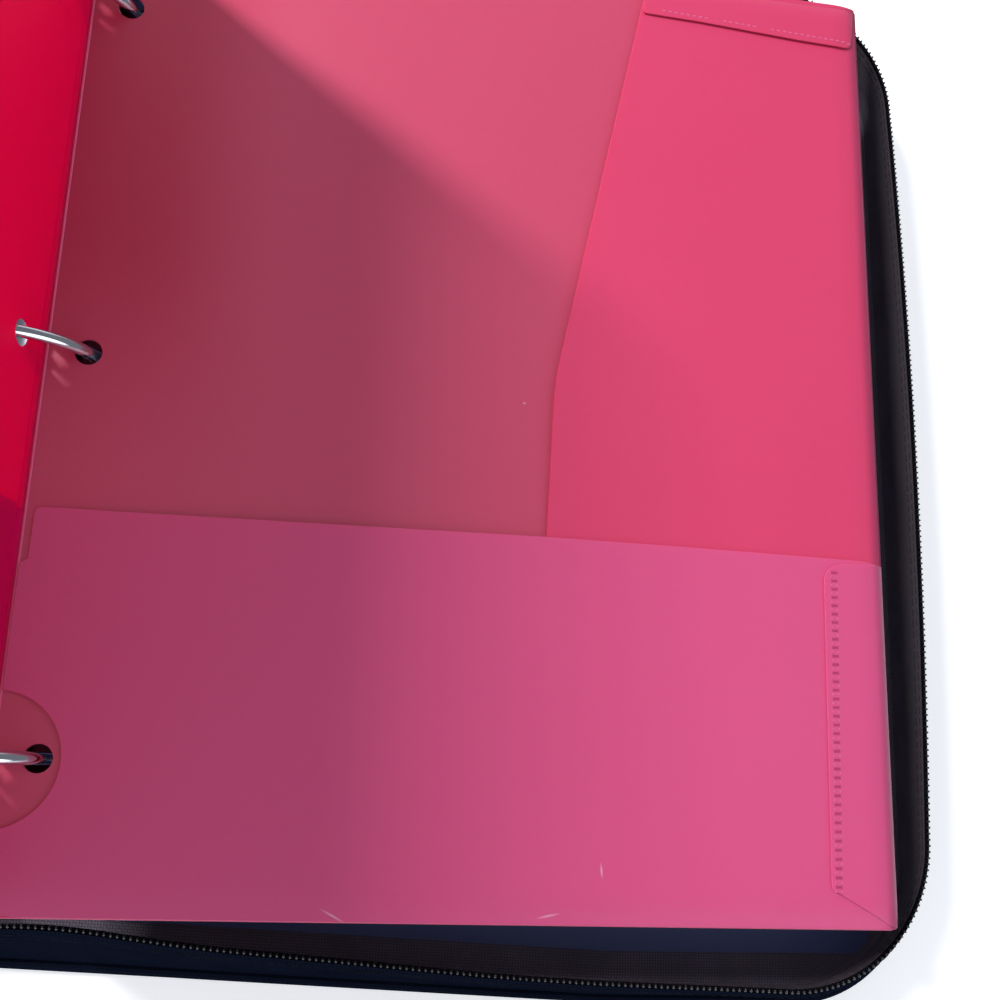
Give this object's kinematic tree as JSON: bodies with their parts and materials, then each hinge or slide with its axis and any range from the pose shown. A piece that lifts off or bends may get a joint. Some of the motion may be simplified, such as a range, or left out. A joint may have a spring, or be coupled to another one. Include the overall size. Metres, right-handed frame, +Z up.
{
  "type": "zip-round ring binder",
  "caption": "Padded fabric ring binder with a zip round its edge, lying open, its chrome rings holding a folded plastic pocket folder.",
  "frame": {"origin": "middle of the spine's underside, on the table the open binder lies on", "axes": "+X from the spine towards the back cover, which carries the rings, +Y towards the head, +Z up"},
  "size_m": [0.6878, 0.3382, 0.281],
  "materials": {
    "case_fabric": "woven polyester, dark navy-black",
    "binding": "grosgrain binding over piping cord, black",
    "greyboard": "bare greyboard",
    "liner_vinyl": "embossed vinyl with a soft gloss, navy",
    "zip_tape": "herringbone-woven tape, charcoal",
    "zip_nylon": "nylon coil, black",
    "zip_metal": "black-lacquered zinc",
    "chrome": "bright nickel-chrome plate",
    "pink_film": "frosted translucent polypropylene sheet, pink",
    "red_film": "the same sheet seen against the light, crimson"
  },
  "bodies": {
    "back_case": {"back_outer_panel": "case_fabric", "back_board": "greyboard", "back_liner": "liner_vinyl", "back_wall": "case_fabric", "back_zip_tape": "zip_tape", "back_zip_coil": "zip_nylon", "back_piping": "binding", "back_foot_stop": "zip_metal", "back_head_stop": "zip_metal", "ring_housing": "chrome", "foot_rivet": "chrome", "head_rivet": "chrome"},
    "spine_case": {"spine_outer_panel": "case_fabric", "spine_board": "greyboard", "spine_liner": "liner_vinyl", "back_hinge": "case_fabric", "front_hinge": "case_fabric"},
    "front_case": {"front_outer_panel": "case_fabric", "front_board": "greyboard", "front_liner": "liner_vinyl", "front_wall": "case_fabric", "front_zip_tape": "zip_tape", "front_zip_coil": "zip_nylon", "front_piping": "binding", "front_foot_stop": "zip_metal", "front_head_stop": "zip_metal"},
    "right_rings": {"right_blade": "chrome", "right_ring_foot": "chrome", "right_ring_middle": "chrome", "right_ring_head": "chrome"},
    "left_rings": {"left_blade": "chrome", "left_ring_foot": "chrome", "left_ring_middle": "chrome", "left_ring_head": "chrome"},
    "foot_lever": {"foot_lever": "chrome"},
    "head_lever": {"head_lever": "chrome"},
    "foot_slider": {"foot_slider": "zip_metal"},
    "head_slider": {"head_slider": "zip_metal"},
    "foot_pull": {"foot_pull": "zip_metal"},
    "head_pull": {"head_pull": "zip_metal"},
    "folder": {"folder_panel": "pink_film", "folder_side_pocket": "pink_film", "folder_bottom_pocket": "pink_film", "folder_top_tab": "pink_film", "folder_weld_tab": "pink_film"},
    "folder_leaf": {"leaf_panel": "red_film", "leaf_side_pocket": "red_film", "leaf_bottom_pocket": "red_film", "leaf_top_tab": "red_film", "leaf_weld_tab": "red_film"}
  },
  "joints": [
    {"name": "case_close", "type": "hinge", "parent": "back_case", "child": "spine_case", "pos_m": [0.032, 0, 0.0016], "axis": [0, 1, 0], "range_deg": [0, 90]},
    {"name": "front_fold", "type": "hinge", "parent": "spine_case", "child": "front_case", "pos_m": [-0.032, 0, 0.0016], "axis": [0, 1, 0], "range_deg": [0, 90]},
    {"name": "ring_open", "type": "hinge", "parent": "back_case", "child": "right_rings", "pos_m": [0.0721, 0.0037, 0.0072], "axis": [0, -1, 0], "range_deg": [-8, 0]},
    {"name": "left_ring_open", "type": "hinge", "parent": "back_case", "child": "left_rings", "pos_m": [0.0557, 0.0037, 0.0072], "axis": [0, -1, 0], "range_deg": [0, 8]},
    {"name": "foot_lever_press", "type": "hinge", "parent": "back_case", "child": "foot_lever", "pos_m": [0.0639, -0.1313, 0.0072], "axis": [1, 0, 0], "range_deg": [0, 24]},
    {"name": "head_lever_press", "type": "hinge", "parent": "back_case", "child": "head_lever", "pos_m": [0.0639, 0.1387, 0.0072], "axis": [1, 0, 0], "range_deg": [-24, 0]},
    {"name": "folder_creep", "type": "slide", "parent": "right_rings", "child": "folder", "axis": [0.1072, 0, -0.9942], "range_m": [0, 0.00405]},
    {"name": "leaf_fold", "type": "hinge", "parent": "folder", "child": "folder_leaf", "pos_m": [0.077, 0.0037, 0.0492], "axis": [0, 1, 0], "range_deg": [0, 101.8]},
    {"name": "foot_slide", "type": "slide", "parent": "back_case", "child": "foot_slider", "axis": [-0.9983, 0.0584, 0], "range_m": [-0.24, 0]},
    {"name": "head_slide", "type": "slide", "parent": "back_case", "child": "head_slider", "axis": [-0.9983, -0.0584, 0], "range_m": [-0.24, 0]},
    {"name": "foot_pull_lift", "type": "hinge", "parent": "foot_slider", "child": "foot_pull", "pos_m": [0.04569, -0.15085, 0.0336], "axis": [0.9983, -0.0584, 0], "range_deg": [-110, 0]},
    {"name": "head_pull_lift", "type": "hinge", "parent": "head_slider", "child": "head_pull", "pos_m": [0.04569, 0.15085, 0.0336], "axis": [-0.9983, -0.0584, 0], "range_deg": [-110, 0]}
  ],
  "couplings": [
    {"joint": "front_fold", "follows": "case_close", "ratio": 1},
    {"joint": "leaf_fold", "follows": "case_close", "ratio": 1.1311},
    {"joint": "folder_creep", "follows": "case_close", "m_per_rad": 0.002572},
    {"joint": "left_ring_open", "follows": "ring_open", "ratio": -1},
    {"joint": "foot_lever_press", "follows": "ring_open", "ratio": -3},
    {"joint": "head_lever_press", "follows": "ring_open", "ratio": 3}
  ]
}
